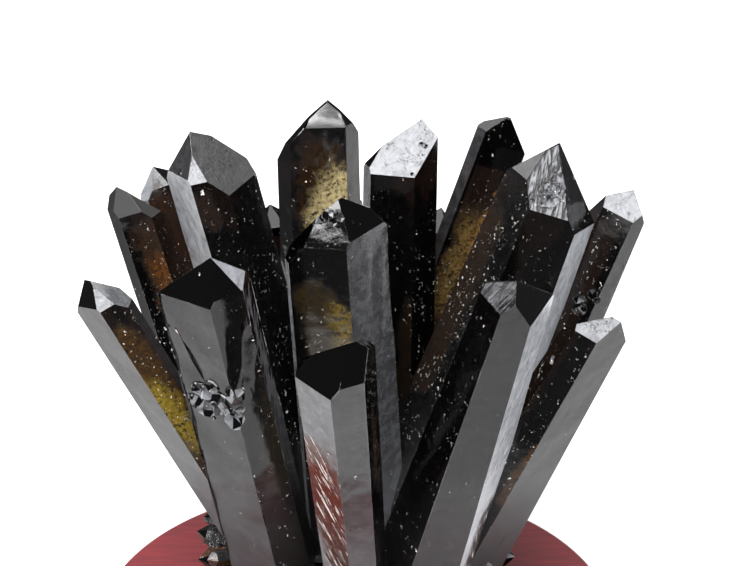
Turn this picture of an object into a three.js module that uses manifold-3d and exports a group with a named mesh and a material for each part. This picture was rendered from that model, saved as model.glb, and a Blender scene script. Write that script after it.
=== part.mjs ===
// A cluster of morion (black smoky quartz) crystals on a round lacquered wooden stand.
// Millimetres, +Z up. The origin is the centre of the stand's underside, and the front is towards -Y.
import * as THREE from 'three';
import Module from 'manifold-3d';
import { mergeVertices } from 'three/addons/utils/BufferGeometryUtils.js';

const wasm = await Module();
wasm.setup();

// Driving sizes
const standRadius = 76;
const standHeight = 22;
const standRim = 1.6; // radius of the rounded top edge
const restGap = 0.3; // the cluster lies on the stand with this much clearance
const footLevel = standHeight + restGap;
const capSlope = THREE.MathUtils.degToRad(38.2); // a quartz cap face leans in by this much
const faceTurns = [-60, 0, 60, 120, 180, 240]; // left, front, right, back right, back, back left

// One entry for each large crystal, measured in mm from the front.
// tip and foot: the two ends of its axis. turn: how far its front face looks to the right, in degrees.
// edges: where the left outline, the front face's two edges and the right outline stand beside the axis.
// front and back: how far those two faces stand from the axis.
// caps: how far below the tip each cap face crosses the axis, in the order of faceTurns.
// taper: how much each prism face leans in towards the foot, in degrees.
const frontCrystals = {
  farLeft: {
    tip: [-76, -16.5, 139.5], foot: [-18.5, -4.5], turn: 14,
    edges: [-5, 3.4, 10.4, 11.5], front: 7, back: 9, caps: [6, 0.5, -2, -1, 0, 4], taper: 0,
  },
  leftAmber: {
    tip: [-67.5, 25, 148.5], foot: [-31, 7], turn: 5,
    edges: [-4.4, -1, 8, 11], front: 6, back: 8, caps: [0, 0, -2, 0, 0, -2], taper: 0,
  },
  leftBehind: {
    tip: [-57.7, 32, 151.7], foot: [-16, 9], turn: 15,
    edges: [-6, -3.4, 5, 9], front: 4.5, back: 6, caps: [0, 0, 0, -4, 0, 0], taper: 0,
  },
  leftTall: {
    tip: [-44.7, 5, 174], foot: [-8, 1], turn: 0,
    edges: [-10.3, -2, 7.5, 14.4], front: 12, back: 13, caps: [0, -4.2, 0.4, -3.4, 0, 0], taper: 0,
  },
  leftFront: {
    tip: [-38.3, -50, 161.4], foot: [-16.5, -13], turn: 25,
    edges: [-14.6, -0.3, 8.5, 9.5], front: 6, back: 12, caps: [4.2, 2, -1, -2, 0, -8], taper: 0,
  },
  backTall: {
    tip: [-7.7, 35, 171], foot: [-4, 9], turn: 0,
    edges: [-15, -11, 5, 8.5], front: 5.5, back: 16, caps: [-4, 0, -2.5, 0, 0, 0], taper: 0,
  },
  middle: {
    tip: [-1.5, -18, 164], foot: [6.4, -4.7], turn: -12,
    edges: [-18, -17, -1, 10], front: 8.5, back: 14, caps: [-6.5, 0, 3, -3, -1, -2.5], taper: 0,
  },
  frontMiddle: {
    tip: [1.8, -75, 151], foot: [9, -21], turn: 17,
    edges: [-17.4, -8.3, 0.8, 3.9], front: 5, back: 14, caps: [0, 5, 2.5, 1.5, 0, -8], taper: 1,
  },
  backWhiteCap: {
    tip: [18.6, 25, 169.5], foot: [16.5, 6], turn: -15,
    edges: [-16, -14, -1.7, 4.8], front: 11.2, back: 8, caps: [-7, 0, -8, 0, -8, 0.5], taper: 0,
  },
  backAmber: {
    tip: [44, 30, 167.5], foot: [-8, 8], turn: 15,
    edges: [-8.1, -5.7, 7.8, 10], front: 0.5, back: 14, caps: [-1.5, 0, 0, 0, 0, -5], taper: 0,
  },
  rightTall: {
    tip: [56.7, 8, 169.5], foot: [5.4, 2], turn: 3,
    edges: [-10.9, -3.5, 10.2, 16.8], front: 12, back: 12, caps: [-2, 0.8, 1, 0, 0, 0], taper: -2.3,
  },
  farRight: {
    tip: [78, 15, 152], foot: [24.5, 4], turn: -25,
    edges: [-11, -6.5, 2, 5.5], front: 5.4, back: 9, caps: [-8, 0, -6, 0, 0, 0], taper: -1.2,
  },
  farRightTwin: {
    tip: [80.3, 12, 145], foot: [36, 4], turn: 20,
    edges: [-3, -1, 1, 2.4], front: 1.8, back: 3, caps: [0, 0, 0, 1, 0, 0], taper: 0,
  },
  rightLow: {
    tip: [69.5, -25, 132.5], foot: [20, -8], turn: -17,
    edges: [-9, -7.6, -1.4, 8.1], front: 5, back: 9, caps: [-6, 0, -8, -4, 0, 0], taper: -2,
  },
  rightFront: {
    tip: [42.8, -50, 155], foot: [12.2, -13.7], turn: 8,
    edges: [-8.6, -3, 5.2, 11.6], front: 6.5, back: 9, caps: [-2.7, -20, -0.5, -20, 0, -20], taper: -2.6,
  },
};

// The crystals at the back and the short ones low down.
// reach: how far the six prism faces stand from the axis.
const otherCrystals = {
  backLeftUpper: {
    tip: [-25, 50, 133], foot: [-8, 13], turn: 10,
    reach: [7, 6, 7, 8, 7, 6.5], caps: [0, 0, 1, 0, 2, 0],
  },
  backRightUpper: {
    tip: [25, 50, 132], foot: [7, 13], turn: -8,
    reach: [7, 6.5, 7, 7, 6, 8], caps: [0, 0, 0, 1, 0, 2],
  },
  backLeft: {
    tip: [-41, 62, 128], foot: [-13, 16], turn: 4,
    reach: [9, 8, 9, 10, 8.5, 9.5], caps: [0, 0, 3, 2, -1, 0],
  },
  backCentre: {
    tip: [-11, 72, 137], foot: [-3, 19], turn: 14,
    reach: [10, 9, 11, 10, 9, 10], caps: [0, 0, 0, 1, 5, 3],
  },
  backCentreRight: {
    tip: [13.5, 68, 134], foot: [5, 20], turn: -12,
    reach: [8, 8, 9, 9, 8, 9], caps: [0, 0, 4, 1, 0, 2],
  },
  backRight: {
    tip: [41, 66, 127], foot: [13, 18], turn: 6,
    reach: [9, 8, 8.5, 9, 8.5, 8], caps: [0, 0, 0, 3, 0, 1],
  },
  backFarRight: {
    tip: [60, 48, 126], foot: [20, 13], turn: 20,
    reach: [8, 7.5, 8, 8.5, 7.5, 7], caps: [0, 0, 1, 0, 2, 0],
  },
  backFarLeft: {
    tip: [-56, 50, 104], foot: [-22, 17], turn: -6,
    reach: [7.5, 7, 7, 8, 7, 8], caps: [0, 0, 2, 0, 3, 0],
  },
  behindLowLeft: {
    tip: [-33, 82, 97], foot: [-12, 26], turn: 17,
    reach: [8, 7, 8.5, 8, 7.5, 8], caps: [0, 0, 0, 2, -2, 0],
  },
  behindLow: {
    tip: [0, 88, 102], foot: [0, 27], turn: -4,
    reach: [9, 8, 8.5, 9, 8, 9.5], caps: [0, 0, 2, 0, 4, 0],
  },
  behindLowRight: {
    tip: [31, 84, 99], foot: [12, 26], turn: 9,
    reach: [7.5, 8, 8, 7, 8.5, 8], caps: [0, 0, 0, -2, 1, 3],
  },
  lowFarRight: {
    tip: [69, 40, 97], foot: [26, 14], turn: -10,
    reach: [6.5, 6, 6.5, 7, 6, 6.5], caps: [0, 0, 1, 3, 0, 0],
  },
  lowBackLeft: {
    tip: [-50, 44, 72], foot: [-27, 20], turn: 12,
    reach: [6.5, 6, 6, 6.5, 6, 6], caps: [0, 0, 0, 0, 2, 1],
  },
  lowBackRight: {
    tip: [50, 48, 70], foot: [26, 22], turn: -15,
    reach: [6, 6, 6.5, 6, 6, 6.5], caps: [0, 0, 0, 2, 1, 0],
  },
  lowBack: {
    tip: [2, 80, 62], foot: [1, 34], turn: 22,
    reach: [7, 6.5, 7, 7.5, 7, 7.5], caps: [0, 0, 0, 2, 0, 1],
  },
  lowLeft: {
    tip: [-56, -14, 42], foot: [-34, -8], turn: 5,
    reach: [5, 4.5, 5, 5, 5, 4.5], caps: [0, 1, 0, 0, 1, 0],
  },
  lowRight: {
    tip: [54, -18, 41], foot: [33, -10], turn: -8,
    reach: [5, 5, 4.5, 5, 5, 5], caps: [0, 0, 1, 0, 0, 1],
  },
  lowFrontLeft: {
    tip: [-22, -50, 50], foot: [-13, -22], turn: -12,
    reach: [5, 5.5, 5, 5.5, 5, 5], caps: [0, 1, 0, 0, 0, 0],
  },
  lowFront: {
    tip: [-5, -50, 43], foot: [-3, -24], turn: 16,
    reach: [4.5, 4, 4.5, 4, 4.5, 4], caps: [0, 0, 1, 0, 0, 0],
  },
  lowFrontRight: {
    tip: [27, -46, 48], foot: [17, -22], turn: 3,
    reach: [5, 4.5, 5, 5, 4.5, 5], caps: [1, 0, 0, 0, 0, 0],
  },
};

// The low mass that the crystals grew up from, and the crust of small points on it
const mound = { centre: [-1, 2, 24], reach: [42, 34, 26], squareness: 3, roughness: 0.05 };
const crust = { count: 42, radius: [1.7, 3.6], proud: [1.3, 2.6], lowest: 0.08, highest: 0.8 };

// Small points that cling to the outer crystals, just above the mound
const clingingPoints = [
  { at: [-44, 0, 53], towards: [-0.8, -0.2, 0.5], radius: 2.1 },
  { at: [-43, -3, 49], towards: [-0.9, -0.4, 0.3], radius: 2.6 },
  { at: [-42, 4, 46], towards: [-1, 0.1, 0.3], radius: 3 },
  { at: [-40, -7, 45], towards: [-0.8, -0.7, 0.3], radius: 2.4 },
  { at: [-41, -2, 42], towards: [-1, -0.3, 0.1], radius: 3.2 },
  { at: [-42, -3, 56], towards: [-0.7, -0.5, 0.6], radius: 1.7 },
  { at: [41, -6, 48], towards: [0.6, -0.7, 0.6], radius: 2.2 },
  { at: [39, -9, 48], towards: [0.4, -0.9, 0.4], radius: 2.8 },
  { at: [37, -12, 47], towards: [0.3, -0.9, 0.5], radius: 2.3 },
  { at: [42, -4, 44], towards: [0.9, -0.4, 0.2], radius: 3 },
  { at: [35, -13, 51], towards: [0.1, -0.9, 0.6], radius: 1.6 },
  { at: [41, 5, 44], towards: [1, 0.2, 0.3], radius: 2.8 },
];

// Places where the crystals are broken or pitted: middle, direction that the broken face looks in,
// how far the breaks spread over it, how many there are, and their radii.
// proud: how far a lump's middle stands in front of the face, as a share of its size.
const scars = {
  leftFrontBreak: {
    at: [-35.5, -41, 113], facing: [-0.54, -0.79, -0.29],
    spread: 8, count: 12, radius: [2.2, 4], proud: 0.4,
  },
  leftFrontEdge: {
    at: [-30.9, -45, 117.5], facing: [0.1, -0.95, -0.2],
    spread: 5, count: 6, radius: [1.4, 2.8], proud: 0.4,
  },
  leftFrontSide: {
    at: [-40.9, -38.4, 115.5], facing: [-0.7, -0.7, -0.1],
    spread: 5, count: 4, radius: [1.2, 2.2], proud: 0.4,
  },
  rightTallCap: {
    at: [53.6, -0.6, 158.8], facing: [0.25, -0.76, 0.6],
    spread: 4.5, count: 6, radius: [3, 5], proud: 0.66,
  },
  farRightChips: {
    at: [67, 5.7, 120.3], facing: [-0.36, -0.9, 0.25],
    spread: 4.5, count: 6, radius: [1, 2], proud: 0.45,
  },
  rightLowChip: {
    at: [54.1, -23.5, 119.4], facing: [-0.6, -0.7, 0.4],
    spread: 1.2, count: 2, radius: [1.2, 1.8], proud: 0.45,
  },
  whiteCapPit: {
    at: [19.3, 19, 164.1], facing: [-0.19, -0.67, 0.71],
    spread: 0.9, count: 3, radius: [0.6, 1], proud: 0.3,
  },
  whiteCapEdge: {
    at: [19.4, 16.2, 161.4], facing: [0.1, -0.7, 0.7],
    spread: 1.9, count: 3, radius: [0.6, 1], proud: 0.5,
  },
  whiteCapCorner: {
    at: [16.2, 13.1, 157.7], facing: [-0.19, -0.67, 0.71],
    spread: 0.3, count: 1, radius: [0.5, 0.7], proud: 0.3,
  },
  middleCapPit: {
    at: [-6.6, -20, 158.7], facing: [-0.19, -0.82, 0.53],
    spread: 3.4, count: 6, radius: [1, 1.9], proud: 0.45,
  },
};

// The same scattered numbers between 0 and 1 on every run
function scatterFrom(seed) {
  let state = seed;
  return () => {
    state = (state * 1664525 + 1013904223) % 4294967296;
    return state / 4294967296;
  };
}

function between([low, high], share) {
  return low + (high - low) * share;
}

// How far each prism face stands from the axis, worked out from the edges seen from the front
function faceReach({ turn, edges, front, back }) {
  const [outerLeft, innerLeft, innerRight, outerRight] = edges;
  const sixty = Math.sin(Math.PI / 3);
  const [left, middle, right, backRight, , backLeft] = faceTurns.map(
    (step) => Math.cos(THREE.MathUtils.degToRad(turn + step)),
  );
  const leftReach = (front * left - innerLeft * sixty) / middle;
  const rightReach = (front * right + innerRight * sixty) / middle;
  const backRightReach = (outerRight * sixty + rightReach * backRight) / right;
  const backLeftReach = (leftReach * backLeft - outerLeft * sixty) / left;
  return [leftReach, front, rightReach, backRightReach, back, backLeftReach];
}

function solidFrom(geometry) {
  const plain = geometry.clone();
  plain.deleteAttribute('normal');
  plain.deleteAttribute('uv');
  const merged = mergeVertices(plain, 1e-4);
  return new wasm.Manifold(new wasm.Mesh({
    numProp: 3,
    vertProperties: Float32Array.from(merged.attributes.position.array),
    triVerts: Uint32Array.from(merged.index.array),
  }));
}

// Cuts off what lies on the side of the point that the normal shows
function cutOutside(solid, normal, point) {
  return solid.trimByPlane([-normal.x, -normal.y, -normal.z], -normal.dot(point));
}

// A direction across the axis, turned towards the axis by an angle
function tilted(outward, axis, angle) {
  return outward.clone().multiplyScalar(Math.cos(angle)).addScaledVector(axis, Math.sin(angle));
}

// A six-sided crystal, cut from a block by its prism faces and its cap faces
function crystalSolid({ tip, foot, turn, reach, caps, taper = 0 }) {
  const top = new THREE.Vector3(...tip);
  const root = new THREE.Vector3(foot[0], foot[1], footLevel);
  const axis = top.clone().sub(root).normalize();
  const ahead = new THREE.Vector3(0, -1, 0);
  ahead.addScaledVector(axis, -ahead.dot(axis)).normalize();
  const side = axis.clone().cross(ahead);
  const girth = 4 * Math.max(...reach);
  const length = 1.3 * top.distanceTo(root) + girth;
  const block = new THREE.BoxGeometry(girth, girth, length);
  block.applyMatrix4(new THREE.Matrix4().makeBasis(side, ahead.clone().negate(), axis));
  block.translate(...top.clone().addScaledVector(axis, girth / 2 - length / 2).toArray());
  let solid = solidFrom(block);
  const lean = THREE.MathUtils.degToRad(taper);
  faceTurns.forEach((step, index) => {
    const angle = THREE.MathUtils.degToRad(turn + step);
    const outward = ahead.clone().multiplyScalar(Math.cos(angle)).addScaledVector(side, Math.sin(angle));
    const prismNormal = tilted(outward, axis, -lean);
    const capNormal = tilted(outward, axis, capSlope);
    solid = cutOutside(solid, prismNormal, top.clone().addScaledVector(outward, reach[index]));
    solid = cutOutside(solid, capNormal, top.clone().addScaledVector(axis, -caps[index]));
  });
  return solid;
}

// A rounded block with a lumpy skin, which the crystals stand in
function moundSolid(scatter) {
  const ball = new THREE.IcosahedronGeometry(1, 2);
  ball.deleteAttribute('normal');
  ball.deleteAttribute('uv');
  const skin = mergeVertices(ball, 1e-4);
  const corners = skin.attributes.position;
  for (let index = 0; index < corners.count; index += 1) {
    const corner = new THREE.Vector3().fromBufferAttribute(corners, index);
    const lump = 1 + mound.roughness * (2 * scatter() - 1);
    corners.setXYZ(index, ...moundPoint(corner, lump).toArray());
  }
  return solidFrom(skin);
}

// Where the mound's skin is in a direction from its middle
function moundPoint(direction, share = 1) {
  const flat = Math.hypot(direction.x, direction.y);
  const { squareness, reach, centre } = mound;
  const size = (flat ** squareness + Math.abs(direction.z) ** squareness) ** (1 / squareness);
  return direction.clone().multiplyScalar(share / size).multiply(new THREE.Vector3(...reach))
    .add(new THREE.Vector3(...centre));
}

// A short six-sided point that stands out of what it grew on
function pointSolid(place, direction, radius, proud, twist) {
  const rooted = 2.2 * radius; // how deep it starts
  const profile = [[0, -rooted], [radius, -rooted], [radius, proud - radius], [0, proud]];
  const shape = new THREE.LatheGeometry(profile.map(([x, y]) => new THREE.Vector2(x, y)), 6);
  shape.rotateY(twist);
  const up = new THREE.Vector3(0, 1, 0);
  shape.applyQuaternion(new THREE.Quaternion().setFromUnitVectors(up, direction.clone().normalize()));
  shape.translate(...place.toArray());
  return solidFrom(shape);
}

// Golden-angle steps spread the small points evenly round the mound
function crustSolids(scatter) {
  const goldenAngle = Math.PI * (3 - Math.sqrt(5));
  return Array.from({ length: crust.count }, (_, index) => {
    const rise = between([crust.lowest, crust.highest], (index + 0.5) / crust.count);
    const angle = index * goldenAngle + 0.4 * scatter();
    const flat = Math.sqrt(1 - rise * rise);
    const direction = new THREE.Vector3(flat * Math.cos(angle), flat * Math.sin(angle), rise);
    const radius = between(crust.radius, scatter() ** 2);
    const proud = radius * between(crust.proud, scatter());
    const lean = new THREE.Vector3(scatter() - 0.5, scatter() - 0.5, 0.6 * scatter());
    const leaning = direction.clone().add(lean);
    return pointSolid(moundPoint(direction), leaning, radius, proud, Math.PI * scatter());
  });
}

function clingingSolids(scatter) {
  const proudShare = 1.6; // how far each stands out, as a share of its radius
  return clingingPoints.map(({ at, towards, radius }) => {
    const place = new THREE.Vector3(...at);
    return pointSolid(place, new THREE.Vector3(...towards), radius, proudShare * radius, Math.PI * scatter());
  });
}

// Angular lumps that take the breaks and pits out of a face
function scarSolids({ at, facing, spread, count, radius, proud }, scatter) {
  const outward = new THREE.Vector3(...facing).normalize();
  const across = new THREE.Vector3(0, 0, 1).cross(outward).normalize();
  const along = outward.clone().cross(across);
  return Array.from({ length: count }, () => {
    const size = between(radius, scatter());
    const angle = 2 * Math.PI * scatter();
    const far = spread * Math.sqrt(scatter());
    const lump = new THREE.IcosahedronGeometry(size, 0);
    lump.rotateX(Math.PI * scatter());
    lump.rotateZ(Math.PI * scatter());
    const middle = new THREE.Vector3(...at).addScaledVector(outward, proud * size)
      .addScaledVector(across, far * Math.cos(angle)).addScaledVector(along, far * Math.sin(angle));
    lump.translate(...middle.toArray());
    return solidFrom(lump);
  });
}

function geometryFrom(solid) {
  const mesh = solid.getMesh();
  const geometry = new THREE.BufferGeometry();
  geometry.setAttribute('position', new THREE.Float32BufferAttribute(mesh.vertProperties, 3));
  geometry.setIndex(new THREE.BufferAttribute(mesh.triVerts, 1));
  geometry.computeVertexNormals();
  return geometry;
}

// The small gaps shut in between the crystals' feet are stone too, so only the outer skin is kept
function outerShell(solid) {
  const shells = solid.decompose();
  return shells.reduce((best, next) => (next.volume() > best.volume() ? next : best));
}

function clusterGeometry() {
  const scatter = scatterFrom(20);
  const large = Object.values(frontCrystals).map(
    (shape) => crystalSolid({ ...shape, reach: faceReach(shape) }),
  );
  const others = Object.values(otherCrystals).map(crystalSolid);
  const small = [moundSolid(scatter), ...crustSolids(scatter), ...clingingSolids(scatter)];
  const grown = [...large, ...others, ...small].reduce((whole, next) => whole.add(next));
  const breaks = Object.values(scars).flatMap((scar) => scarSolids(scar, scatter));
  const broken = breaks.reduce((whole, next) => whole.subtract(next), grown);
  const standing = cutOutside(broken, new THREE.Vector3(0, 0, -1), new THREE.Vector3(0, 0, footLevel));
  return geometryFrom(outerShell(standing));
}

// A plain turned disc: a small bevel below, an upright side and a rounded top edge
function standGeometry() {
  const bevel = 1.2;
  const roundSteps = 3;
  const rim = Array.from({ length: roundSteps + 1 }, (_, step) => {
    const angle = (step / roundSteps) * (Math.PI / 2);
    const outX = standRadius - standRim + standRim * Math.cos(angle);
    return [outX, standHeight - standRim + standRim * Math.sin(angle)];
  });
  const profile = [[0, 0], [standRadius - bevel, 0], [standRadius, bevel], ...rim, [0, standHeight]];
  const geometry = new THREE.LatheGeometry(profile.map(([x, y]) => new THREE.Vector2(x, y)), 96);
  geometry.rotateX(Math.PI / 2);
  return geometry;
}

const quartz = new THREE.MeshStandardMaterial({ color: 0x1c1712, roughness: 0.08, metalness: 0 });
const lacqueredWood = new THREE.MeshStandardMaterial({ color: 0x8c2f33, roughness: 0.35, metalness: 0 });

function piece(name, geometry, material) {
  const mesh = new THREE.Mesh(geometry, material);
  mesh.name = name;
  return mesh;
}

const part = new THREE.Group();
part.add(piece('quartz_cluster', clusterGeometry(), quartz));
part.add(piece('wood_stand', standGeometry(), lacqueredWood));

export default part;
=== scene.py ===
import bpy, bmesh, math
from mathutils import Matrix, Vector, noise


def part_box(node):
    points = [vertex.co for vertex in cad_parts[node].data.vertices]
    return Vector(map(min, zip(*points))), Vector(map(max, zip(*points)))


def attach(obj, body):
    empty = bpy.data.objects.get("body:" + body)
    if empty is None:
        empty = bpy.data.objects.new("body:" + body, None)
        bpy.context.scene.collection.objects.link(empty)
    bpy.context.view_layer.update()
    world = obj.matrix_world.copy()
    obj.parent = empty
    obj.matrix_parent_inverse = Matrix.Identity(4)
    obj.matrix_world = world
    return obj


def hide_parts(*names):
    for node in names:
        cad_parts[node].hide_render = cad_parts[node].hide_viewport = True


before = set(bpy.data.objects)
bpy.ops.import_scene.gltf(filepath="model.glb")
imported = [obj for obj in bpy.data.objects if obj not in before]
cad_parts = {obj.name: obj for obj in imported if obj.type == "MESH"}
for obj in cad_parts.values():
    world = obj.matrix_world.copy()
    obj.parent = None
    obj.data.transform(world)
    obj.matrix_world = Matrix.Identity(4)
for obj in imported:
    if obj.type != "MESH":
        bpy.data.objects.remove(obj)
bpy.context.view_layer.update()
scene = bpy.context.scene
mm = 0.001  # m


# colours are given as sRGB hex, nodes want linear
def colour(hexText):
    channels = [int(hexText[i:i + 2], 16) / 255 for i in (1, 3, 5)]
    return tuple(c / 12.92 if c < 0.04045 else ((c + 0.055) / 1.055) ** 2.4 for c in channels) + (1,)


# adds one node: settings are its own properties, inputs are numbers, colours, outputs or other nodes
# (a MapRange takes 1 and 2 as the range it reads and gives back 3 to 4)
def addNode(tree, kind, settings=None, inputs=None):
    node = tree.nodes.new("ShaderNode" + kind)
    for name, value in (settings or {}).items():
        setattr(node, name, value)
    for name, value in (inputs or {}).items():
        if isinstance(value, bpy.types.Node):
            value = value.outputs[0]
        if isinstance(value, bpy.types.NodeSocket):
            tree.links.new(value, node.inputs[name])
        else:
            node.inputs[name].default_value = value
    return node


def newTree(name):
    material = bpy.data.materials.new(name)
    material.use_nodes = True
    material.node_tree.nodes.clear()
    return material, material.node_tree


# camera, at the photo's angle
cameraSetup = {
    "lookAt": (6.4, 0, 130.3),  # mm
    "elevation": 26,  # degrees above the floor
    "distance": 750,  # mm
    "focal": 2700 / 755,  # in picture widths
    "sensor": 36,  # mm
    "nearest": 0.01,  # m, nothing closer is drawn
}


def makeCamera():
    camera = bpy.data.cameras.new("camera")
    camera.sensor_width = cameraSetup["sensor"]
    camera.lens = cameraSetup["focal"] * cameraSetup["sensor"]
    camera.clip_start = cameraSetup["nearest"]
    holder = bpy.data.objects.new("camera", camera)
    rise = math.radians(cameraSetup["elevation"])
    back = Vector((0, -math.cos(rise), math.sin(rise))) * cameraSetup["distance"]
    holder.location = (Vector(cameraSetup["lookAt"]) + back) * mm
    holder.rotation_euler = (math.pi / 2 - rise, 0, 0)
    scene.collection.objects.link(holder)
    scene.camera = holder


makeCamera()
scene.view_settings.view_transform = "Standard"
print("camera ready")

# studio: white paper, a large ceiling light, a window-like softbox and light bounced up from the paper
studio = {
    "floorRadius": 9,  # m
    "floorSides": 96,
    "floorDrop": 0.0002,  # m below the foot of the stand
    "floorColour": "#e6e6e4",
    "roomLight": 0.12,
    "roomBlue": 1.05,  # how much stronger its blue is
    "lightsAim": (0, 0, 0.12),  # m, the middle of the crystals
    "ceiling": {"size": (2.6, 2.6), "at": (0, 0.2, 1.7), "radiance": 3.2},
    "softbox": {"size": (1.1, 0.7), "azimuth": -22, "elevation": 56, "distance": 1.2, "radiance": 14},
    "paper": {"size": (0.86, 0.78), "at": (0.14, 0.225, 0.0005), "radiance": 1.2},
}


def makeAreaLight(name, size, location, direction, radiance):
    light = bpy.data.lights.new(name, "AREA")
    light.shape = "RECTANGLE"
    light.size, light.size_y = size
    light.energy = radiance * math.pi * size[0] * size[1]
    holder = bpy.data.objects.new(name, light)
    holder.location = location
    holder.rotation_euler = Vector(direction).to_track_quat("-Z", "Y").to_euler()
    holder.visible_camera = False
    scene.collection.objects.link(holder)


def makeStudio():
    bm = bmesh.new()
    bmesh.ops.create_circle(bm, cap_ends=True, segments=studio["floorSides"],
                             radius=studio["floorRadius"])
    mesh = bpy.data.meshes.new("paper_floor")
    bm.to_mesh(mesh)
    bm.free()
    floor = bpy.data.objects.new("paper_floor", mesh)
    floor.location.z = -studio["floorDrop"]
    floor.visible_glossy = False  # the bounced light stands in for it in reflections
    scene.collection.objects.link(floor)
    material, tree = newTree("matt white paper")
    shader = addNode(tree, "BsdfDiffuse", {}, {"Color": colour(studio["floorColour"])})
    addNode(tree, "OutputMaterial", {}, {"Surface": shader})
    mesh.materials.append(material)

    world = bpy.data.worlds.new("dim room")
    world.use_nodes = True
    light = studio["roomLight"]
    dimGrey = (light, light, light * studio["roomBlue"], 1)
    world.node_tree.nodes["Background"].inputs["Color"].default_value = dimGrey
    scene.world = world

    ceiling, softbox, paper = studio["ceiling"], studio["softbox"], studio["paper"]
    makeAreaLight("ceiling", ceiling["size"], ceiling["at"], (0, 0, -1), ceiling["radiance"])
    turn, rise = math.radians(softbox["azimuth"]), math.radians(softbox["elevation"])
    away = Vector((math.sin(turn) * math.cos(rise), -math.cos(turn) * math.cos(rise), math.sin(rise)))
    place = Vector(studio["lightsAim"]) + away * softbox["distance"]
    makeAreaLight("softbox", softbox["size"], place, -away, softbox["radiance"])
    makeAreaLight("paper bounce", paper["size"], paper["at"], (0, 0, 1), paper["radiance"])


makeStudio()
print("studio ready")


# the crystals seen from the front: the tip and foot of each axis in mm, how many degrees its front face is
# turned to the right, how many degrees its sides lean in towards the foot, and the look of each prism face
# and cap face that isn't plain glassy
crystals = {
    "farLeft": {
        "tip": (-76, -16.5, 139.5), "foot": (-18.5, -4.5), "turn": 14,
        "looks": {"left": "faintSheen", "front": "specked", "capFront": "white", "capRight": "grey"},
    },
    "leftAmber": {
        "tip": (-67.5, 25, 148.5), "foot": (-31, 7), "turn": 5,
        "looks": {"left": "matt", "front": "specked", "right": "specked", "capLeft": "matt",
                  "capFront": "matt", "capRight": "matt"},
    },
    "leftBehind": {
        "tip": (-57.7, 32, 151.7), "foot": (-16, 9), "turn": 15,
        "looks": {"left": "silver", "capLeft": "silver", "capFront": "grey", "front": "specked"},
    },
    "leftTall": {
        "tip": (-44.7, 5, 174), "foot": (-8, 1), "turn": 0,
        "looks": {"left": "silver", "front": "starry", "right": "starry", "capLeft": "smoky",
                  "capFront": "white", "capRight": "smoky"},
    },
    "leftFront": {
        "tip": (-38.3, -50, 161.4), "foot": (-16.5, -13), "turn": 25,
        "looks": {"left": "rippled", "front": "dim", "capLeft": "clean", "capFront": "clean",
                  "capRight": "silver"},
    },
    "backTall": {
        "tip": (-7.7, 35, 171), "foot": (-4, 9), "turn": 0,
        "looks": {"front": "specked", "right": "faintSheen", "capFront": "rippled"},
    },
    "middle": {
        "tip": (-1.5, -18, 164), "foot": (6.4, -4.7), "turn": -12,
        "looks": {"left": "silver", "right": "grey", "front": "dim", "capFront": "dim"},
    },
    "frontMiddle": {
        "tip": (1.8, -75, 151), "foot": (9, -21), "turn": 17, "taper": 1,
        "looks": {"left": "grey", "front": "faintSheen", "capLeft": "clean", "capFront": "clean",
                  "capRight": "matt"},
    },
    "backWhiteCap": {
        "tip": (18.6, 25, 169.5), "foot": (16.5, 6), "turn": -15,
        "looks": {"left": "silver", "front": "specked", "right": "specked", "capFront": "white"},
    },
    "backAmber": {
        "tip": (44, 30, 167.5), "foot": (-8, 8), "turn": 15,
        "looks": {"front": "specked", "left": "faintSheen", "capFront": "matt", "right": "pale"},
    },
    "rightTall": {
        "tip": (56.7, 8, 169.5), "foot": (5.4, 2), "turn": 3, "taper": -2.3,
        "looks": {"left": "crumbly", "front": "specked", "right": "pale", "capFront": "striped",
                  "capLeft": "faintSheen", "capRight": "starry"},
    },
    "farRight": {
        "tip": (78, 15, 152), "foot": (24.5, 4), "turn": -25, "taper": -1.2,
        "looks": {"left": "specked", "front": "starry", "right": "faintSheen", "capFront": "white",
                  "capRight": "striped"},
    },
    "farRightTwin": {
        "tip": (80.3, 12, 145), "foot": (36, 4), "turn": 20, "looks": {"front": "grey"},
    },
    "rightLow": {
        "tip": (69.5, -25, 132.5), "foot": (20, -8), "turn": -17, "taper": -2,
        "looks": {"left": "specked", "front": "specked", "right": "sheen", "capFront": "white"},
    },
    "rightFront": {
        "tip": (42.8, -50, 155), "foot": (12.2, -13.7), "turn": 8, "taper": -2.6,
        "looks": {"left": "dim", "front": "sheen", "right": "pale", "capLeft": "scored"},
    },
}
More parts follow.
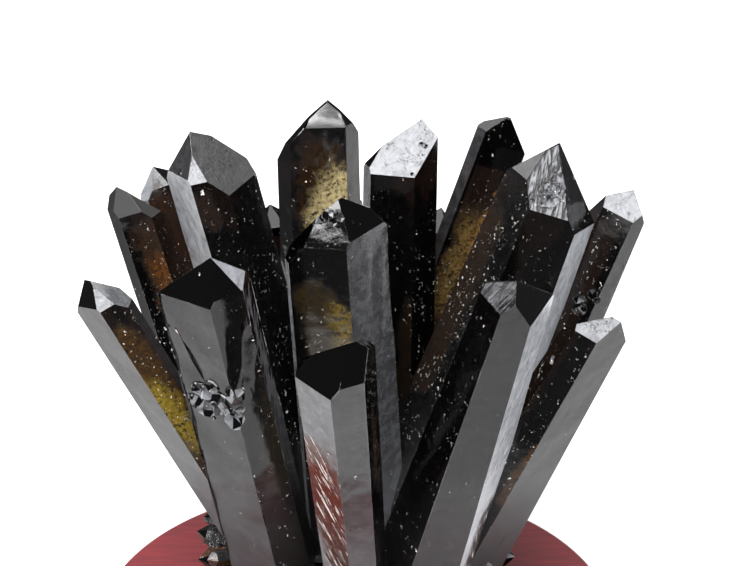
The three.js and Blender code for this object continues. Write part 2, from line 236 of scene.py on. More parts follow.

# the film: how pale the dull skin on the face is, which is partly real frosting and partly a painted
# reflection of the bright paper and lamps, the flecks: bright specks in it, painted glints, etch: small dark
# marks and pits,
# stripes: the marks run down the face, satin: how much polish is lost, waves: how uneven the face is,
# tint: what colour shows from inside all over it
looks = {
    "glassy": {"filmAndSheen": 0.0, "glintFlecks": 0.08},
    "clean": {"filmAndSheen": 0.0, "glintFlecks": 0.02},
    "matt": {"filmAndSheen": 0.0, "glintFlecks": 0.2, "satin": 0.7},
    "smoky": {"filmAndSheen": 0.09, "glintFlecks": 0.2, "etch": 0.8, "satin": 0.25},
    "dim": {"filmAndSheen": 0.02, "glintFlecks": 0.4, "etch": 0.05},
    "specked": {"filmAndSheen": 0.02, "glintFlecks": 0.75, "etch": 0.05},
    "starry": {"filmAndSheen": 0.03, "glintFlecks": 1.1, "etch": 0.1},
    "crumbly": {"filmAndSheen": 0.04, "glintFlecks": 1.5, "etch": 0.2},
    "rippled": {"filmAndSheen": 0.06, "glintFlecks": 0.06, "etch": 0.1, "waves": 1},
    # the next five looks: their pale film is mostly a painted reflection of the bright paper and lamps, not a
    # real skin
    "sheen": {"filmAndSheen": 0.055, "glintFlecks": 0.04, "etch": 0.05},
    "faintSheen": {"filmAndSheen": 0.1, "glintFlecks": 0.04, "etch": 0.1},
    "grey": {"filmAndSheen": 0.17, "glintFlecks": 0.05, "etch": 0.1},
    "silver": {"filmAndSheen": 0.32, "glintFlecks": 0.05, "etch": 0.1},
    "pale": {"filmAndSheen": 0.62, "glintFlecks": 0.03, "etch": 0.05},
    "white": {"filmAndSheen": 0.3, "glintFlecks": 0.1, "etch": 0.8, "satin": 0.2},
    "striped": {"filmAndSheen": 0.28, "glintFlecks": 0.4, "etch": 2.5, "stripes": 1},
    "scored": {"filmAndSheen": 0.16, "glintFlecks": 0.1, "etch": 0.5, "stripes": 1},
    "shard": {"filmAndSheen": 0.12, "glintFlecks": 1.2, "etch": 0.3},
    "rusty": {"filmAndSheen": 0.05, "glintFlecks": 0.8, "etch": 0.3, "tint": "#503828"},
}

# what the small faces of broken places and of the crust look like, picked by where each face is
brokenLooks = ["glassy", "white", "shard", "glassy", "silver", "dim"]
crustLooks = ["glassy", "rusty", "shard", "rusty", "silver", "shard", "white", "glassy"]

# broken places: middle and reach in mm, and their look where they all have the same
breaks = {
    "leftFrontBreak": {"at": (-35.5, -41, 113), "reach": 12},
    "farRightChips": {"at": (67, 5.7, 120.3), "reach": 7},
    "rightLowChip": {"at": (54.1, -23.5, 119.4), "reach": 4},
    "middleCapPit": {"at": (-6.6, -20, 158.7), "reach": 6},
    "whiteCapPits": {"at": (19, 17, 162), "reach": 7},
    "rightTallCap": {"at": (53.6, -0.6, 158.8), "reach": 9, "look": "striped"},
}

# dents in the faces, which mirror the dark: two ends, reach and depth in mm
dents = [
    {"from": (-35.5, -46, 148), "to": (-33, -44, 134), "reach": 5, "depth": 1},
    {"from": (-29.5, -46, 138), "to": (-31, -43, 124), "reach": 5, "depth": 1.2},
    {"from": (-38, -41, 130), "to": (-40, -37, 118), "reach": 4.5, "depth": 0.8},
    {"from": (6, -12, 146), "to": (8, -12, 126), "reach": 6, "depth": 0.8},
]

# see-through amber places, and two red ones low on the front crystals that are painted reflections of the red
# stand: the face, two ends and reach in mm, and how strong the pale streaks across it are
ambersAndStandReflections = [
    {"on": "backTall front", "from": (-10, 25, 156), "to": (-9, 22, 126), "reach": 11, "colour": "#261709"},
    {"on": "backTall front", "from": (-9, 24, 139), "to": (-4, 25, 148), "reach": 7, "colour": "#a8996f"},
    {"on": "farLeft front", "from": (-62, -20, 121), "to": (-40, -17, 82), "reach": 9, "colour": "#39260e"},
    {"on": "farLeft front", "from": (-55, -19, 106), "to": (-44, -17, 90), "reach": 5, "colour": "#78651f"},
    {"on": "middle front", "from": (-10, -22, 136), "to": (-7, -22, 116), "reach": 9, "colour": "#2a210f"},
    {"on": "middle front", "from": (-3, -22, 133), "to": (-2, -22, 118), "reach": 4, "colour": "#62511c"},
    {"on": "backAmber front", "from": (34, 26, 138), "to": (22, 20, 106), "reach": 8, "colour": "#35291a"},
    {"on": "backAmber front", "from": (33, 25, 134), "to": (25, 21, 113), "reach": 5.5, "colour": "#6a5530"},
    {"on": "backAmber front", "from": (42, 27, 144), "to": (35, 25, 124), "reach": 4, "colour": "#a0703a"},
    {"on": "leftAmber front", "from": (-57, 20, 136), "to": (-48, 17, 112), "reach": 9, "colour": "#2a1c12"},
    {"on": "leftAmber front", "from": (-53, 20, 128), "to": (-48, 17, 112), "reach": 7, "colour": "#5e3a18"},
    {"on": "leftBehind capFront", "from": (-58, 27, 148), "to": (-56, 27, 144), "reach": 4,
     "colour": "#2e1d10"},
    {"on": "leftBehind front", "from": (-56, 27, 142), "to": (-50, 25, 120), "reach": 7, "colour": "#2c1d14"},
    {"on": "rightLow front", "from": (51, -24, 92), "to": (41, -23, 74), "reach": 3, "colour": "#4a3012"},
    {"on": "frontMiddle right", "from": (5, -63, 126), "to": (7, -46, 92), "reach": 4, "colour": "#382811"},
    {"on": "leftFront front", "from": (-25, -37, 132), "to": (-19, -34, 86), "reach": 8, "colour": "#1e1a12"},
    {"on": "leftTall front", "from": (-41, -7, 158), "to": (-39, -7, 152), "reach": 5, "colour": "#241b17"},
    {"on": "leftTall right", "from": (-33, -1, 159), "to": (-31, -1, 149), "reach": 2.6, "colour": "#8a7c74"},
    {"on": "backWhiteCap front", "from": (18, 4, 122), "to": (14, 2, 92), "reach": 8, "colour": "#1c150b"},
    {"on": "rightTall left", "from": (40, 5, 146), "to": (20, 3, 100), "reach": 9, "colour": "#261d17"},
    # painted reflections of the red stand, low on two front faces, with pale streaks
    {"on": "frontMiddle left", "from": (-9, -58, 110), "to": (-4, -46, 66), "reach": 10, "colour": "#4a1c06",
     "streaks": 1},
    {"on": "rightFront right", "from": (38, -25, 70), "to": (34, -24, 54), "reach": 8, "colour": "#30090d",
     "streaks": 0.8},
]

# seams between crystals where the painted glints crowd: two ends and reach in mm
seams = [
    {"from": (26, 0, 98), "to": (14, -2, 60), "reach": 5},
    {"from": (-34, -4, 122), "to": (-20, -6, 74), "reach": 5},
    {"from": (-52, 16, 124), "to": (-44, 10, 104), "reach": 4},
]

quartzLook = {
    "ior": 1.544,
    "absorbColour": "#a8742c",
    "absorbDensity": 125,  # per metre
    "centre": (0, 0, -28),  # mm, where the crystals' axes meet
    "darkBody": "#080706",
    "brownBody": "#191310",
    "footDust": 0.07,  # film added where the crystals meet the crust
    "footDustFrom": 96, "footDustFull": 68,  # mm above the table
    # pale colour of the dull skin, partly real frosting and partly painted reflection
    "filmAndSheenColour": "#c4c7ce",
    # white of the painted glints
    "glintColour": "#f3f1ec",
    "skinCover": 4, "amberCover": 0.85,  # how much of the clear stone they hide
    "polish": 0.03,  # roughness of a clean face, and what skin, etching and the foot add to it
    "skinRoughness": 0.25, "etchRoughness": 0.12, "footRoughness": 0.4,
    "lineDepth": 0.012, "hillDepth": 0.35, "etchDepth": 0.3,  # mm, relief that is only shaded
}

# how fine the patterns in the stone are, in repeats per mm; those that follow a face have three numbers:
# across the face, along it, and from face to face
quartzPatterns = {
    "bodyPatches": 0.07, "skinClouds": 0.33, "etchMarks": 0.75, "etchClumps": 0.2, "stripes": (0.9, 0.12, 1),
    "fleckDrifts": 0.13, "fleckRagged": 1.6, "amberGrain": 0.45, "amberMottle": 0.9, "hills": 0.09,
    "growthLines": (0.05, 1.1, 1),  # drawn coarser than the real ones, which are too fine to show
    "fleckCells": ((0.5, 0.03, 0.14), (1.15, 0.04, 0.24)),  # with the smallest and largest fleck, in cells
    "fleckTall": (1, 1, 0.6), "fleckPush": (2.2, 2.2, 2.2),  # drawn out upward, and pushed about, in mm
    "fleckFew": 160, "fleckMany": 125,  # mm above the table
    "featherSlant": 26, "feathers": (1, 12, 1),  # degrees, mm wide and long
}

clusterFoot = 22.3  # mm, where the axes' feet are
capSlope = math.radians(38.2)
sideNames = ["left", "front", "right", "backRight", "back", "backLeft"]
lookNames = list(looks)


# smoky quartz: clear crystal gone brown-black, glassy growth faces, some with a dull pale skin that is partly
# real frosting and partly painted reflection, with painted glints, and low on two faces a painted reflection
# of the red stand
def quartzMaterial():
    material, tree = newTree("morion quartz, natural crystal faces")
    fine = quartzPatterns
    coords = addNode(tree, "TexCoord")
    place = addNode(tree, "VectorMath", {"operation": "SCALE"}, {
        0: coords.outputs["Object"], "Scale": 1 / mm,
    })
    finishAndPaintedLight = addNode(tree, "Attribute", {"attribute_name": "finishAndPaintedLight"})
    filmAndSheen, glintFlecks, etch = addNode(tree, "SeparateXYZ", {}, {0: finishAndPaintedLight.outputs["Vector"]}).outputs
    wear = addNode(tree, "Attribute", {"attribute_name": "wear"})
    stripes, satin, foot = addNode(tree, "SeparateXYZ", {}, {0: wear.outputs["Vector"]}).outputs
    glow = addNode(tree, "Attribute", {"attribute_name": "glow"})
    grown = addNode(tree, "Attribute", {"attribute_name": "grown"})

    # body: brown-black, browner in patches about 14 mm wide
    patches = addNode(tree, "TexNoise", {}, {"Vector": place, "Scale": fine["bodyPatches"], "Detail": 3})
    body = addNode(tree, "MixRGB", {}, {
        "Fac": patches, "Color1": colour(quartzLook["darkBody"]), "Color2": colour(quartzLook["brownBody"]),
    })

    # dull skin, partly real frosting and partly a painted reflection of the paper and lamps: cloudy over 3
    # mm, whole where the crystals meet the crust
    cloud = addNode(tree, "TexNoise", {}, {
        "Vector": place, "Scale": fine["skinClouds"], "Detail": 5, "Roughness": 0.65, "Distortion": 0.6,
    })
    cloudShare = addNode(tree, "MapRange", {}, {0: cloud, 1: 0.34, 2: 0.66, 3: 0.7, 4: 1.2})
    footDust = addNode(tree, "MapRange", {}, {0: filmAndSheen, 1: 0.01, 2: 0.06, 3: 0, 4: quartzLook["footDust"]})
    footDust = addNode(tree, "Math", {"operation": "MULTIPLY"}, {0: footDust, 1: foot})
    skin = addNode(tree, "Math", {"operation": "MULTIPLY_ADD"}, {0: filmAndSheen, 1: cloudShare, 2: footDust})

    # etched marks: dark, ragged, about 1 mm wide, in clumps 5 mm wide, or drawn out down the face as stripes
    growth = grown.outputs["Vector"]
    down = addNode(tree, "VectorMath", {"operation": "MULTIPLY"}, {0: growth, 1: fine["stripes"]})
    markPlace = addNode(tree, "MixRGB", {}, {"Fac": stripes, "Color1": place, "Color2": down})
    marks = addNode(tree, "TexNoise", {}, {
        "Vector": markPlace, "Scale": fine["etchMarks"], "Detail": 5, "Roughness": 0.65, "Distortion": 1.2,
    })
    clumps = addNode(tree, "TexNoise", {}, {"Vector": place, "Scale": fine["etchClumps"], "Detail": 2})
    clump = addNode(tree, "MapRange", {}, {0: clumps, 1: 0.42, 2: 0.58, 3: 0.1, 4: 1})
    clump = addNode(tree, "Math", {"operation": "MAXIMUM"}, {0: clump, 1: stripes})
    deeper = addNode(tree, "Math", {"operation": "MULTIPLY_ADD"}, {0: stripes, 1: -0.05, 2: marks})
    gap = addNode(tree, "MapRange", {}, {0: deeper, 1: 0.38, 2: 0.47, 3: 1.3, 4: 0})
    gap = addNode(tree, "Math", {"operation": "MULTIPLY"}, {0: gap, 1: etch})
    gap = addNode(tree, "Math", {"operation": "MULTIPLY"}, {0: gap, 1: clump})
    kept = addNode(tree, "Math", {"operation": "SUBTRACT", "use_clamp": True}, {0: 1, 1: gap})
    skin = addNode(tree, "Math", {"operation": "MULTIPLY"}, {0: skin, 1: kept})

    # flecks, which are painted glints: ragged specks 0.1 to 0.7 mm wide, bright and faint, in drifts about 8
    # mm wide, more lower down
    drifts = addNode(tree, "TexNoise", {}, {
        "Vector": place, "Scale": fine["fleckDrifts"], "Detail": 4, "Roughness": 0.65,
    })
    drift = addNode(tree, "MapRange", {}, {0: drifts, 1: 0.4, 2: 0.64, 3: 0.03, 4: 0.9})
    drift = addNode(tree, "Math", {"operation": "MULTIPLY"}, {0: drift, 1: glintFlecks})
    height = addNode(tree, "SeparateXYZ", {}, {0: place}).outputs["Z"]
    lower = addNode(tree, "MapRange", {}, {
        0: height, 1: fine["fleckFew"], 2: fine["fleckMany"], 3: 0.4, 4: 1.1,
    })
    drift = addNode(tree, "Math", {"operation": "MULTIPLY"}, {0: drift, 1: lower})
    warp = addNode(tree, "TexNoise", {}, {"Vector": place, "Scale": fine["fleckRagged"], "Detail": 2})
    tall = addNode(tree, "VectorMath", {"operation": "MULTIPLY"}, {0: place, 1: fine["fleckTall"]})
    warped = addNode(tree, "VectorMath", {"operation": "MULTIPLY_ADD"}, {
        0: warp.outputs["Color"], 1: fine["fleckPush"], 2: tall,
    })
    speck = 0
    for cells, smallest, largest in fine["fleckCells"]:
        specks = addNode(tree, "TexVoronoi", {}, {"Vector": warped, "Scale": cells})
        chance = addNode(tree, "SeparateXYZ", {}, {0: specks.outputs["Color"]})
        chosen = addNode(tree, "Math", {"operation": "LESS_THAN"}, {0: chance, 1: drift})
        size = addNode(tree, "MapRange", {}, {0: chance.outputs["Y"], 1: 0, 2: 1, 3: smallest, 4: largest})
        near = addNode(tree, "Math", {"operation": "LESS_THAN"}, {0: specks.outputs["Distance"], 1: size})
        bright = addNode(tree, "MapRange", {}, {0: chance.outputs["Z"], 1: 0, 2: 0.8, 3: 0.15, 4: 1})
        lit = addNode(tree, "Math", {"operation": "MULTIPLY"}, {0: near, 1: bright})
        lit = addNode(tree, "Math", {"operation": "MULTIPLY"}, {0: lit, 1: chosen})
        speck = addNode(tree, "Math", {"operation": "MAXIMUM"}, {0: lit, 1: speck})

    # amber places and the painted reflections of the red stand: ragged edges and grain about 2 mm wide, with
    # pale feathery streaks in the painted reflections
    grain = addNode(tree, "TexNoise", {}, {
        "Vector": place, "Scale": fine["amberGrain"], "Detail": 7, "Roughness": 0.72,
    })
    grainShare = addNode(tree, "MapRange", {"clamp": False}, {0: grain, 1: 0.3, 2: 0.7, 3: 0.35, 4: 1.65})
    amber = addNode(tree, "Math", {"operation": "MULTIPLY"}, {0: glow.outputs["Alpha"], 1: grainShare})
    amber = addNode(tree, "MapRange", {}, {0: amber, 1: 0.25, 2: 0.9, 3: 0, 4: 1})
    slant = (0, 0, math.radians(fine["featherSlant"]))
    slanted = addNode(tree, "Mapping", {"vector_type": "TEXTURE"}, {
        "Vector": growth, "Rotation": slant, "Scale": fine["feathers"],
    })
    feathers = addNode(tree, "TexNoise", {}, {"Vector": slanted, "Scale": 1, "Detail": 5, "Roughness": 0.65})
    feather = addNode(tree, "MapRange", {}, {0: feathers, 1: 0.56, 2: 0.61, 3: 0, 4: 0.6})
    streaky = addNode(tree, "Attribute", {"attribute_name": "streaky"})
    feather = addNode(tree, "Math", {"operation": "MULTIPLY"}, {0: feather, 1: streaky.outputs["Fac"]})
    feather = addNode(tree, "Math", {"operation": "MULTIPLY"}, {0: feather, 1: amber})

    # colour: the skin with its painted reflection over the body, amber places and painted stand reflections
    # over both, painted glints and feathers on top
    filmAndSheenColour, glintColour = colour(quartzLook["filmAndSheenColour"]), colour(quartzLook["glintColour"])
    base = addNode(tree, "MixRGB", {}, {"Fac": skin, "Color1": body, "Color2": filmAndSheenColour})
    mottle = addNode(tree, "TexNoise", {}, {
        "Vector": place, "Scale": fine["amberMottle"], "Detail": 7, "Roughness": 0.75,
    })
    mottled = addNode(tree, "MapRange", {}, {0: mottle, 1: 0.37, 2: 0.6, 3: 0.2, 4: 1})
    inside = addNode(tree, "MixRGB", {}, {"Fac": mottled, "Color1": body, "Color2": glow.outputs["Color"]})
    base = addNode(tree, "MixRGB", {}, {"Fac": amber, "Color1": base, "Color2": inside})
    speck = addNode(tree, "Math", {"operation": "MAXIMUM"}, {0: speck, 1: feather})
    base = addNode(tree, "MixRGB", {}, {"Fac": speck, "Color1": base, "Color2": glintColour})

    # the stone is clear wherever none of them covers it
    veil = addNode(tree, "Math", {"operation": "MULTIPLY"}, {0: amber, 1: quartzLook["amberCover"]})
    dull = addNode(tree, "Math", {"operation": "MULTIPLY"}, {0: skin, 1: quartzLook["skinCover"]})
    cover = addNode(tree, "Math", {"operation": "MAXIMUM"}, {0: dull, 1: veil})
    cover = addNode(tree, "Math", {"operation": "MAXIMUM", "use_clamp": True}, {0: cover, 1: speck})
    clear = addNode(tree, "Math", {"operation": "SUBTRACT"}, {0: 1, 1: cover})

    # roughness: polished, duller under the skin and where etched
    rough = addNode(tree, "Math", {"operation": "MULTIPLY_ADD"}, {
        0: skin, 1: quartzLook["skinRoughness"], 2: quartzLook["polish"],
    })
    rough = addNode(tree, "Math", {"operation": "MULTIPLY_ADD"}, {
        0: etch, 1: quartzLook["etchRoughness"], 2: rough,
    })
    rough = addNode(tree, "Math", {"operation": "MULTIPLY_ADD"}, {
        0: foot, 1: quartzLook["footRoughness"], 2: rough,
    })
    rough = addNode(tree, "Math", {"operation": "ADD", "use_clamp": True}, {0: satin, 1: rough})

    # relief: growth lines across each prism, low hillocks, and etched marks
    stretch = addNode(tree, "VectorMath", {"operation": "MULTIPLY"}, {0: growth, 1: fine["growthLines"]})
    lines = addNode(tree, "TexNoise", {}, {"Vector": stretch, "Scale": 1, "Detail": 4, "Roughness": 0.6})
    bump = addNode(tree, "Bump", {}, {"Distance": quartzLook["lineDepth"] * mm, "Height": lines})
    hills = addNode(tree, "TexNoise", {}, {"Vector": place, "Scale": fine["hills"], "Detail": 2})
    bump = addNode(tree, "Bump", {}, {
        "Distance": quartzLook["hillDepth"] * mm, "Height": hills, "Normal": bump,
    })
    etched = addNode(tree, "Math", {"operation": "MULTIPLY"}, {0: marks, 1: etch})
    bump = addNode(tree, "Bump", {}, {
        "Distance": quartzLook["etchDepth"] * mm, "Height": etched, "Normal": bump,
    })

    shader = addNode(tree, "BsdfPrincipled", {}, {
        "Base Color": base, "Roughness": rough, "IOR": quartzLook["ior"], "Transmission Weight": clear,
        "Normal": bump,
    })
    volume = addNode(tree, "VolumeAbsorption", {}, {
        "Color": colour(quartzLook["absorbColour"]), "Density": quartzLook["absorbDensity"],
    })
    addNode(tree, "OutputMaterial", {}, {"Surface": shader, "Volume": volume})
    return material


quartzPiece = {
    "edgeWidth": 0.15, "edgeSegments": 2, "sharpAngle": 12, "smoothAngle": 8,  # mm, steps, degrees
    "mergeReach": 0.002, "flatAngle": 0.6,  # mm, degrees: joins the CAD's loose triangles into whole faces
    "coarseStep": 12, "smoothStep": 5, "fineStep": 1.5,  # mm, longest edges of back, front and etched faces
    "rounds": 8,  # of halving the long edges, at most
    "unevenEtch": 0.3,  # faces etched more than this are pressed in too
    "hillHeight": 0.12, "hillWidth": 9, "waveHeight": 0.9, "waveWidth": 10,  # mm
    "etchHeight": 0.1, "etchWidth": 1.6, "stripeHeight": 0.5, "stripeWidth": 1.5,
    "stripeRun": 0.1,  # repeats per mm along the stripes
    # the flecks crowding in the seams are painted glints
    "seamCrowd": 1.5,  # how many more flecks there are in the seams
    "capTilt": 0.3,  # a face that looks along the axis more than this is a cap face
    "faceApart": 7,  # how far the patterns of two faces are moved apart
}

# a face belongs to the crystal whose side looks its way, if it is near the axis and not above the tip, in mm
faceMatch = {"alike": 0.99995, "near": 20, "aboveTip": 3}

# the faces that belong to no crystal: random picks per mm, and how high the crust reaches in mm
looseFaces = {"pick": 3.7, "crustTop": 62}

# how ragged the outlines of the amber places are: wide and fine wobbles with their repeats per mm, and how
# steep their edges are
amberEdge = {"wide": 0.35, "widePerMm": 0.16, "fine": 0.2, "finePerMm": 0.5, "steep": 1.7}


# every face of the front crystals with the direction it looks in
def crystalFaces():
    found = []
    for name, crystal in crystals.items():
        tip = Vector(crystal["tip"])
        axis = (tip - Vector((*crystal["foot"], clusterFoot))).normalized()
        ahead = Vector((0, -1, 0))
        ahead = (ahead - axis * ahead.dot(axis)).normalized()
        across = axis.cross(ahead)
        lean = -math.radians(crystal.get("taper", 0))
        for step, sideName in enumerate(sideNames):
            angle = math.radians(crystal["turn"] + 60 * (step - 1))
            outward = ahead * math.cos(angle) + across * math.sin(angle)
            capName = "cap" + sideName[0].upper() + sideName[1:]
            for kind, tilt in ((sideName, lean), (capName, capSlope)):
                normal = outward * math.cos(tilt) + axis * math.sin(tilt)
                found.append({
                    "crystal": name, "side": kind, "normal": normal, "tip": tip, "axis": axis,
                    "look": crystal["looks"].get(kind, "glassy"),
                })
    return found


def matchFace(face, known):
    centre = face.calc_center_median() / mm
    best, bestReach = None, faceMatch["near"]
    for entry in known:
        if face.normal.dot(entry["normal"]) > faceMatch["alike"]:
            offset = centre - entry["tip"]
            along = offset.dot(entry["axis"])
            reach = (offset - entry["axis"] * along).length
            if reach < bestReach and along < faceMatch["aboveTip"]:
                best, bestReach = entry, reach
    return best


def lookOf(face, entry):
    centre = face.calc_center_median() / mm
    if entry:
        return entry["look"]
    picked = abs(noise.cell(centre * looseFaces["pick"])) * 0.999  # stays under 1
    for place in breaks.values():
        if (centre - Vector(place["at"])).length < place["reach"]:
            return place.get("look", brokenLooks[int(picked * len(brokenLooks))])
    return crustLooks[int(picked * len(crustLooks))] if centre.z < looseFaces["crustTop"] else "glassy"


# how far a point is from the line between two ends, as a share of its reach
def shareOf(point, line, wobble=1):
    start, stop = Vector(line["from"]), Vector(line["to"])
    run = stop - start
    share = min(1, max(0, (point - start).dot(run) / run.length_squared))
    return (point - start - run * share).length / (line["reach"] * wobble)


# colour and strength of the amber places and painted stand reflections on a face, at one point of it, and how
# streaky they are
def nearAmberAndReflection(point, places):
    strength, streaks, mixed = 0, 0, Vector((0, 0, 0))
    edge = amberEdge
    wobble = 1 + edge["wide"] * noise.noise(point * edge["widePerMm"])
    wobble += edge["fine"] * noise.noise(point * edge["finePerMm"])
    for amber in places:
        here = max(0, min(1, edge["steep"] * (1 - shareOf(point, amber, wobble))))
        if here > 0:
            mixed = mixed * (1 - here) + Vector(colour(amber["colour"])[:3]) * here
            strength = strength + here * (1 - strength)
            streaks = max(streaks, amber.get("streaks", 0))
    return (mixed / strength if strength else mixed), strength, streaks


# gives each face its number among the crystals' faces, its look, and how fine it has to be
def sortFaces(bm, known):
    which = bm.faces.layers.int.new("which")
    fineness = bm.faces.layers.int.new("fineness")
    lookIndex = bm.faces.layers.int.new("look")
    for face in bm.faces:
        entry = matchFace(face, known)
        look = lookOf(face, entry)
        face[which] = known.index(entry) + 1 if entry else 0
        face[lookIndex] = lookNames.index(look)
        uneven = looks[look].get("etch", 0) > quartzPiece["unevenEtch"] or "waves" in looks[look]
        plain = entry is None or look == "glassy"
        face[fineness] = 0 if plain else 2 if uneven else 1


def bevelEdges(bm):
    sharp = [e for e in bm.edges if len(e.link_faces) == 2 and
             e.calc_face_angle(0) > math.radians(quartzPiece["sharpAngle"])]
    bmesh.ops.bevel(bm, geom=sharp, offset=quartzPiece["edgeWidth"] * mm, affect="EDGES",
                    segments=quartzPiece["edgeSegments"], profile=0.5, material=-1, clamp_overlap=True)
    bmesh.ops.triangulate(bm, faces=bm.faces)
    smoothAngle = math.radians(quartzPiece["smoothAngle"])
    for edge in bm.edges:
        edge.smooth = len(edge.link_faces) == 2 and edge.calc_face_angle(0) < smoothAngle


# halves the long edges until each face is as fine as its look needs
def refine(bm):
    fineness = bm.faces.layers.int["fineness"]
    steps = [quartzPiece["coarseStep"], quartzPiece["smoothStep"], quartzPiece["fineStep"]]
    for _ in range(quartzPiece["rounds"]):
        long = [e for e in bm.edges
                if e.calc_length() > steps[max(f[fineness] for f in e.link_faces)] * mm]
        if not long:
            return
        bmesh.ops.subdivide_edges(bm, edges=long, cuts=1)
        bmesh.ops.triangulate(bm, faces=[f for f in bm.faces if len(f.verts) > 3])


# writes the look of each face on its corners, where the material reads it
def paintCorners(bm, known):
    which = bm.faces.layers.int["which"]
    lookIndex = bm.faces.layers.int["look"]
    finishAndPaintedLight = bm.loops.layers.float_vector.new("finishAndPaintedLight")
    wear = bm.loops.layers.float_vector.new("wear")
    grown = bm.loops.layers.float_vector.new("grown")
    glow = bm.loops.layers.float_color.new("glow")
    streaky = bm.loops.layers.float.new("streaky")
    centre = Vector(quartzLook["centre"])
    footSpan = quartzLook["footDustFrom"] - quartzLook["footDustFull"]
    for face in bm.faces:
        look = looks[lookNames[face[lookIndex]]]
        face.smooth = True
        middle = face.calc_center_median() / mm
        entry = known[face[which] - 1] if face[which] else None
        label = entry["crystal"] + " " + entry["side"] if entry else ""
        places = [amber for amber in ambersAndStandReflections if amber["on"] == label]
        axis = entry["axis"] if entry else (middle - centre).normalized()
        across = axis.cross(face.normal).normalized()
        upward = axis
        if face.normal.dot(axis) > quartzPiece["capTilt"]:
            upward = face.normal.cross(across) if "stripes" in look else Vector((0, 0, 0))
        for loop in face.loops:
            point = loop.vert.co / mm
            apart = quartzPiece["faceApart"] * face[which]
            loop[grown] = Vector((point.dot(across), point.dot(upward), apart))
            low = min(1, max(0, (quartzLook["footDustFrom"] - point.z) / footSpan))
            crowd = max(0, 1 - min(shareOf(point, seam) for seam in seams))
            glintFlecks = look["glintFlecks"] * (1 + quartzPiece["seamCrowd"] * crowd)
            loop[finishAndPaintedLight] = Vector((look["filmAndSheen"], glintFlecks, look.get("etch", 0)))
            loop[wear] = Vector((look.get("stripes", 0), look.get("satin", 0), low if entry else 0))
            tint, strength, streaks = nearAmberAndReflection(point, places)
            if "tint" in look:
                tint, strength = colour(look["tint"])[:3], 1
            loop[glow] = (*tint, strength)
            loop[streaky] = streaks


# from 0 to 1, rolling over a width
def roll(point):
    return 0.5 + 0.5 * noise.noise(point)


# presses each point in: low hillocks everywhere, and waves, etched marks, stripes and dents in their places
def pressIn(bm):
    lookIndex = bm.faces.layers.int["look"]
    wear = bm.loops.layers.float_vector["wear"]
    grown = bm.loops.layers.float_vector["grown"]
    size = quartzPiece
    for vert in bm.verts:
        point = vert.co / mm
        around = [looks[lookNames[f[lookIndex]]] for f in vert.link_faces]
        etch = max(look.get("etch", 0) for look in around)
        waves = max(look.get("waves", 0) for look in around)
        depth = size["hillHeight"] * roll(point / size["hillWidth"])
        depth += size["waveHeight"] * waves * roll(point / size["waveWidth"])
        if etch > size["unevenEtch"]:
            depth += size["etchHeight"] * etch * roll(point / size["etchWidth"])
        striped = [l[grown] for l in vert.link_loops if l[wear].x > 0]
        if striped:
            spot = (striped[0].x / size["stripeWidth"], striped[0].y * size["stripeRun"], 3)
            depth += size["stripeHeight"] * roll(Vector(spot))
        for dent in dents:
            depth += dent["depth"] * max(0, 1 - shareOf(point, dent) ** 2) ** 2
        vert.co -= vert.normal * depth * mm


def makeCluster():
    known = crystalFaces()
    bm = bmesh.new()
    bm.from_mesh(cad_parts["quartz_cluster"].data)
    bmesh.ops.remove_doubles(bm, verts=bm.verts, dist=quartzPiece["mergeReach"] * mm)
    flat = math.radians(quartzPiece["flatAngle"])
    bmesh.ops.dissolve_limit(bm, angle_limit=flat, verts=bm.verts, edges=bm.edges)
    sortFaces(bm, known)
    bevelEdges(bm)
    refine(bm)
    bm.normal_update()
    paintCorners(bm, known)
    pressIn(bm)
    print("cluster faces", len(bm.faces))
    mesh = bpy.data.meshes.new("quartz_cluster_skin")
    bm.to_mesh(mesh)
    bm.free()
    mesh.validate()  # takes out the few tiny faces that the bevel doubles in the crust
    piece = bpy.data.objects.new("quartz_cluster_skin", mesh)
    scene.collection.objects.link(piece)
    mesh.materials.append(quartzMaterial())
    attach(piece, "root")
    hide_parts("quartz_cluster")


makeCluster()
print("cluster ready")


# the stand: a turned disc as wide and high as the CAD one
standPiece = {
    "rim": 1.6, "foot": 1.2,  # mm, how far the upper edge is rounded and the lower one cut
    "rimSteps": 8,
    "segments": 256,
    "mergeReach": 0.001,  # mm
    "lacquer": "#7a2a2e",
    "darkGrain": "#5c1e22",
    "grain": 0.7, "grainRun": (0.12, 1, 1),  # per mm: coarser than real pores, which are too fine to show
    "grainDepth": 0.03,  # mm
    "leastRough": 0.34, "mostRough": 0.48,
    "coat": 0.3, "coatRoughness": 0.2,
}


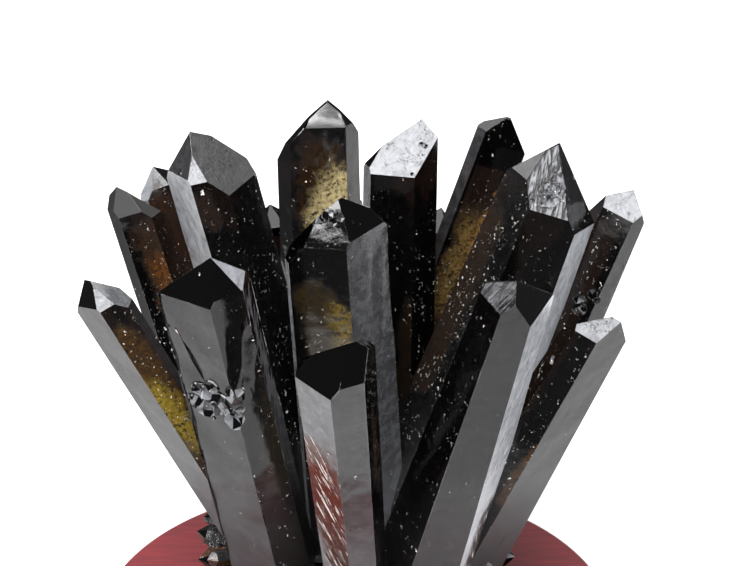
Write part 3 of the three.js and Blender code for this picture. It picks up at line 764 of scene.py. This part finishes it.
# turned hardwood under dark red lacquer: satin gloss, with the grain dark through it
def lacquerMaterial():
    material, tree = newTree("lacquered hardwood, turned")
    coords = addNode(tree, "TexCoord")
    place = addNode(tree, "VectorMath", {"operation": "SCALE"}, {
        0: coords.outputs["Object"], "Scale": 1 / mm,
    })
    along = addNode(tree, "VectorMath", {"operation": "MULTIPLY"}, {0: place, 1: standPiece["grainRun"]})
    grain = addNode(tree, "TexNoise", {}, {
        "Vector": along, "Scale": standPiece["grain"], "Detail": 5, "Roughness": 0.6,
    })
    grainShare = addNode(tree, "MapRange", {}, {0: grain, 1: 0.35, 2: 0.65, 3: 0.1, 4: 0.9})
    base = addNode(tree, "MixRGB", {}, {
        "Fac": grainShare, "Color1": colour(standPiece["lacquer"]), "Color2": colour(standPiece["darkGrain"]),
    })
    rough = addNode(tree, "MapRange", {}, {
        0: grain, 1: 0.3, 2: 0.7, 3: standPiece["leastRough"], 4: standPiece["mostRough"],
    })
    bump = addNode(tree, "Bump", {}, {"Distance": standPiece["grainDepth"] * mm, "Height": grain})
    shader = addNode(tree, "BsdfPrincipled", {}, {
        "Base Color": base, "Roughness": rough, "Normal": bump,
        "Coat Weight": standPiece["coat"], "Coat Roughness": standPiece["coatRoughness"],
    })
    addNode(tree, "OutputMaterial", {}, {"Surface": shader})
    return material


def makeStand():
    low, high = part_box("wood_stand")
    radius, height = high.x, high.z
    rim, foot = standPiece["rim"] * mm, standPiece["foot"] * mm
    profile = [(0, 0), (radius - foot, 0), (radius, foot)]
    for step in range(standPiece["rimSteps"] + 1):
        angle = step / standPiece["rimSteps"] * math.pi / 2
        profile.append((radius - rim + rim * math.cos(angle), height - rim + rim * math.sin(angle)))
    profile.append((0, height))
    bm = bmesh.new()
    points = [bm.verts.new((x, 0, z)) for x, z in profile]
    edges = [bm.edges.new(pair) for pair in zip(points, points[1:])]
    bmesh.ops.spin(bm, geom=points + edges, cent=(0, 0, 0), axis=(0, 0, 1), angle=2 * math.pi,
                   steps=standPiece["segments"], use_merge=True)
    bmesh.ops.remove_doubles(bm, verts=bm.verts, dist=standPiece["mergeReach"] * mm)
    bmesh.ops.recalc_face_normals(bm, faces=bm.faces)
    mesh = bpy.data.meshes.new("lacquered_stand")
    bm.to_mesh(mesh)
    bm.free()
    piece = bpy.data.objects.new("lacquered_stand", mesh)
    scene.collection.objects.link(piece)
    mesh.materials.append(lacquerMaterial())
    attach(piece, "root")
    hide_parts("wood_stand")


makeStand()
print("stand ready")
